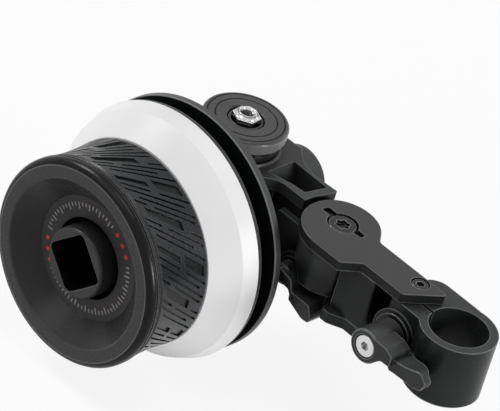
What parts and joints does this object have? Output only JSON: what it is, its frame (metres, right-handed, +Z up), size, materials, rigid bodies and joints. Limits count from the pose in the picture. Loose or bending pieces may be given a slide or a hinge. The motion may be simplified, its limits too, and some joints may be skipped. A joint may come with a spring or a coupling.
{
  "type": "follow focus unit",
  "caption": "Manual follow focus: rimmed handwheel with white marking disc, mitre gearbox with upright drive hub, and a hinged arm with a lever clamp for a support rod.",
  "frame": {"origin": "rod axis at the clamp's lower face", "axes": "+Z up along the rod and parallel to the drive axis; the handwheel's axis is parallel to Y with its face towards -Y; the arm runs along X from the rod to the gearbox at -X"},
  "size_m": [0.1189, 0.0808, 0.065],
  "materials": {
    "black_metal": "black anodised, fine blasted",
    "plate_metal": "black anodised, satin",
    "dark_screws": "black oxide",
    "wheel_black": "smooth satin black",
    "face_black": "matte black",
    "flange_black": "satin black",
    "grip_rubber": "moulded tread",
    "white_disc": "smooth white, takes a marker pen",
    "hub_black": "black anodised, turned",
    "bright_steel": "bright",
    "plain_steel": "ground",
    "seal_rubber": "plain"
  },
  "bodies": {
    "arm": {"rod_clamp": "black_metal", "arm_lower_plate": "black_metal", "arm_body": "black_metal", "arm_top_plate": "plate_metal", "pivot_post": "plain_steel", "pivot_screw": "dark_screws", "arm_end_screw": "dark_screws", "lower_screws": "dark_screws", "clamp_washer": "dark_screws"},
    "clamp_stud": {"clamp_stud": "plain_steel", "clamp_screw": "bright_steel"},
    "clamp_lever": {"clamp_lever": "black_metal"},
    "gearbox": {"gearbox_housing": "black_metal", "flange": "flange_black", "flange_screws": "dark_screws", "rear_cap": "black_metal", "spindle_bearing": "plain_steel", "drive_bearing": "plain_steel", "drive_seal": "seal_rubber", "lock_washer": "dark_screws"},
    "lock_lever": {"lock_lever": "black_metal", "lock_stud": "plain_steel", "lock_screw": "bright_steel"},
    "wheel": {"handwheel_core": "wheel_black", "crank_boss": "wheel_black", "handwheel_rim": "wheel_black", "face_ring": "face_black", "grip_sleeve": "grip_rubber", "marking_disc": "white_disc", "disc_retainer": "wheel_black", "wheel_spindle": "plain_steel", "spindle_gear": "plain_steel", "wheel_screws": "dark_screws"},
    "drive": {"drive_hub": "hub_black", "drive_shaft": "plain_steel", "drive_stud": "bright_steel", "drive_gear": "plain_steel"}
  },
  "joints": [
    {"name": "clamp_turn", "type": "hinge", "parent": "arm", "child": "clamp_stud", "pos_m": [-0.0127, -0.012, 0.0085], "axis": [0, 1, 0], "range_deg": [-120, 60]},
    {"name": "clamp_lift", "type": "slide", "parent": "clamp_stud", "child": "clamp_lever", "axis": [0, -1, 0], "range_m": [0, 0.003], "stiffness_N_per_m": 400, "springref_m": -0.002},
    {"name": "arm_swing", "type": "hinge", "parent": "arm", "child": "gearbox", "pos_m": [-0.0403, 0, 0.01], "axis": [0, 0, 1], "range_deg": [-110, 0]},
    {"name": "lock_turn", "type": "hinge", "parent": "gearbox", "child": "lock_lever", "pos_m": [-0.0468, -0.008, 0.0034], "axis": [0, 1, 0], "range_deg": [0, 95]},
    {"name": "wheel_spin", "type": "hinge", "parent": "gearbox", "child": "wheel", "pos_m": [-0.0766, -0.03, 0], "axis": [0, 1, 0], "continuous": true},
    {"name": "drive_spin", "type": "hinge", "parent": "gearbox", "child": "drive", "pos_m": [-0.0766, 0, 0.02], "axis": [0, 0, 1], "continuous": true}
  ],
  "couplings": [
    {"joint": "drive_spin", "follows": "wheel_spin", "ratio": 1}
  ]
}
